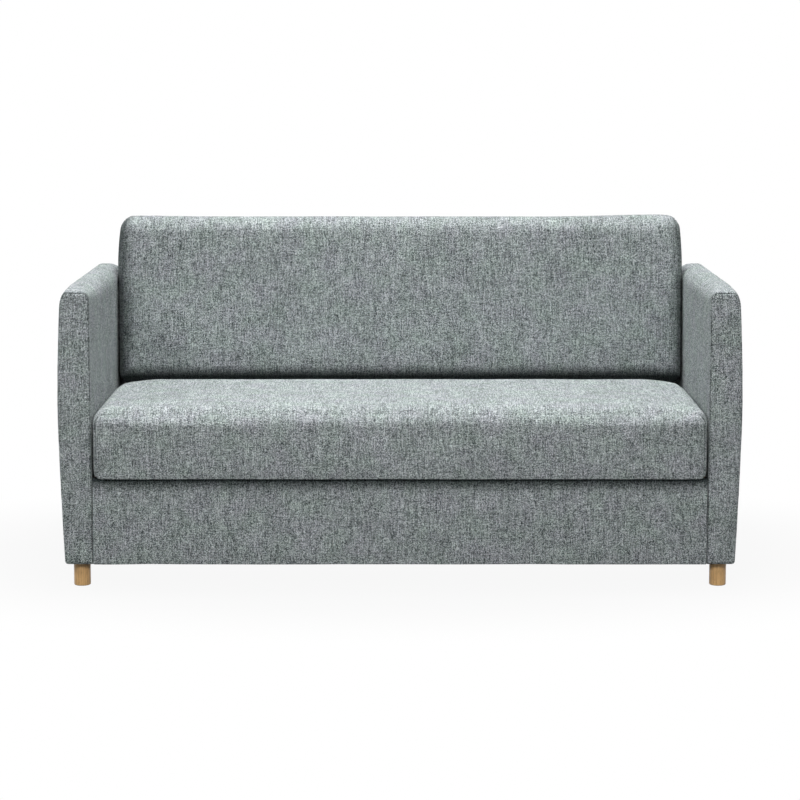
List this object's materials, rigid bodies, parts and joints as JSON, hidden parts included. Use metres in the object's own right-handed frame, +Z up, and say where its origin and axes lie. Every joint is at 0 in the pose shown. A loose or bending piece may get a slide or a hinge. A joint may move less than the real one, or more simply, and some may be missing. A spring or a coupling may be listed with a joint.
{
  "type": "sofa bed",
  "caption": "Upholstered sofa whose seat rolls forward while its hinged back unfolds flat behind it into a bed, on oak peg legs.",
  "frame": {"origin": "on the floor, under the middle of the closed sofa's bounding box", "axes": "+Z up, -Y towards the front where one sits, +X along the sofa's length to its right seen from the front"},
  "size_m": [1.6996, 1.005, 0.8848],
  "materials": {
    "fabric": "heathered grey woven upholstery fabric",
    "oak": "satin clear-coated oak",
    "pine": "planed pine",
    "ply": "sanded plywood",
    "birch": "clear-coated birch",
    "frame_steel": "dark powder coat",
    "zinc_steel": "zinc-plated",
    "castor_rubber": "hard rubber tread"
  },
  "bodies": {
    "base": {"left_arm_cover": "fabric", "right_arm_cover": "fabric", "left_arm_core": "pine", "right_arm_core": "pine", "front_left_leg": "oak", "front_right_leg": "oak", "rear_left_leg": "oak", "rear_right_leg": "oak", "rear_beam": "pine", "stretcher": "pine", "rear_valance": "fabric", "left_back_bracket": "zinc_steel", "right_back_bracket": "zinc_steel"},
    "rear_section": {"rear_section_left_rail": "frame_steel", "rear_section_right_rail": "frame_steel", "rear_section_hinge_rail": "frame_steel", "rear_section_heel_rail": "frame_steel", "rear_section_centre_rail": "frame_steel", "rear_section_slat_1": "birch", "rear_section_slat_2": "birch", "rear_section_slat_3": "birch", "rear_section_slat_4": "birch", "rear_section_slat_5": "birch", "rear_mattress": "fabric"},
    "front_section": {"front_section_left_rail": "frame_steel", "front_section_right_rail": "frame_steel", "front_section_hinge_rail": "frame_steel", "front_section_heel_rail": "frame_steel", "front_section_centre_rail": "frame_steel", "front_section_slat_1": "birch", "front_section_slat_2": "birch", "front_section_slat_3": "birch", "front_section_slat_4": "birch", "front_section_slat_5": "birch", "back_cushion": "fabric", "lower_back_pad": "fabric", "left_hinge_pin": "zinc_steel", "right_hinge_pin": "zinc_steel"},
    "support_leg": {"left_support_leg": "frame_steel", "right_support_leg": "frame_steel", "support_leg_bar": "frame_steel"},
    "seat_carriage": {"seat_cushion": "fabric", "front_panel": "fabric", "seat_deck": "ply", "carriage_front_rail": "pine", "carriage_rear_rail": "pine", "left_carriage_side": "pine", "right_carriage_side": "pine", "left_seat_plate": "zinc_steel", "right_seat_plate": "zinc_steel", "front_left_castor_bracket": "zinc_steel", "front_right_castor_bracket": "zinc_steel", "rear_left_castor_bracket": "zinc_steel", "rear_right_castor_bracket": "zinc_steel"},
    "front_left_wheel": {"front_left_castor_wheel": "castor_rubber"},
    "front_right_wheel": {"front_right_castor_wheel": "castor_rubber"},
    "rear_left_wheel": {"rear_left_castor_wheel": "castor_rubber"},
    "rear_right_wheel": {"rear_right_castor_wheel": "castor_rubber"}
  },
  "joints": [
    {"name": "bed_open", "type": "hinge", "parent": "base", "child": "rear_section", "pos_m": [0, 0.33409, 0.31], "axis": [1, 0, 0], "range_deg": [0, 84]},
    {"name": "back_fold", "type": "hinge", "parent": "rear_section", "child": "front_section", "pos_m": [0, 0.28126, 0.86434], "axis": [1, 0, 0], "range_deg": [-168, 0]},
    {"name": "seat_pivot", "type": "hinge", "parent": "front_section", "child": "seat_carriage", "pos_m": [0, 0.22843, 0.31], "axis": [1, 0, 0], "range_deg": [0, 84]},
    {"name": "leg_swing", "type": "hinge", "parent": "rear_section", "child": "support_leg", "pos_m": [0, 0.28157, 0.80404], "axis": [1, 0, 0], "range_deg": [-84, 0]},
    {"name": "front_left_wheel_spin", "type": "hinge", "parent": "seat_carriage", "child": "front_left_wheel", "pos_m": [-0.743, -0.1775, 0.025], "axis": [1, 0, 0], "continuous": true},
    {"name": "front_right_wheel_spin", "type": "hinge", "parent": "seat_carriage", "child": "front_right_wheel", "pos_m": [0.743, -0.1775, 0.025], "axis": [1, 0, 0], "continuous": true},
    {"name": "rear_left_wheel_spin", "type": "hinge", "parent": "seat_carriage", "child": "rear_left_wheel", "pos_m": [-0.743, -0.0175, 0.025], "axis": [1, 0, 0], "continuous": true},
    {"name": "rear_right_wheel_spin", "type": "hinge", "parent": "seat_carriage", "child": "rear_right_wheel", "pos_m": [0.743, -0.0175, 0.025], "axis": [1, 0, 0], "continuous": true}
  ],
  "couplings": [
    {"joint": "back_fold", "follows": "bed_open", "ratio": -2},
    {"joint": "seat_pivot", "follows": "bed_open", "ratio": 1},
    {"joint": "leg_swing", "follows": "bed_open", "ratio": -1}
  ]
}
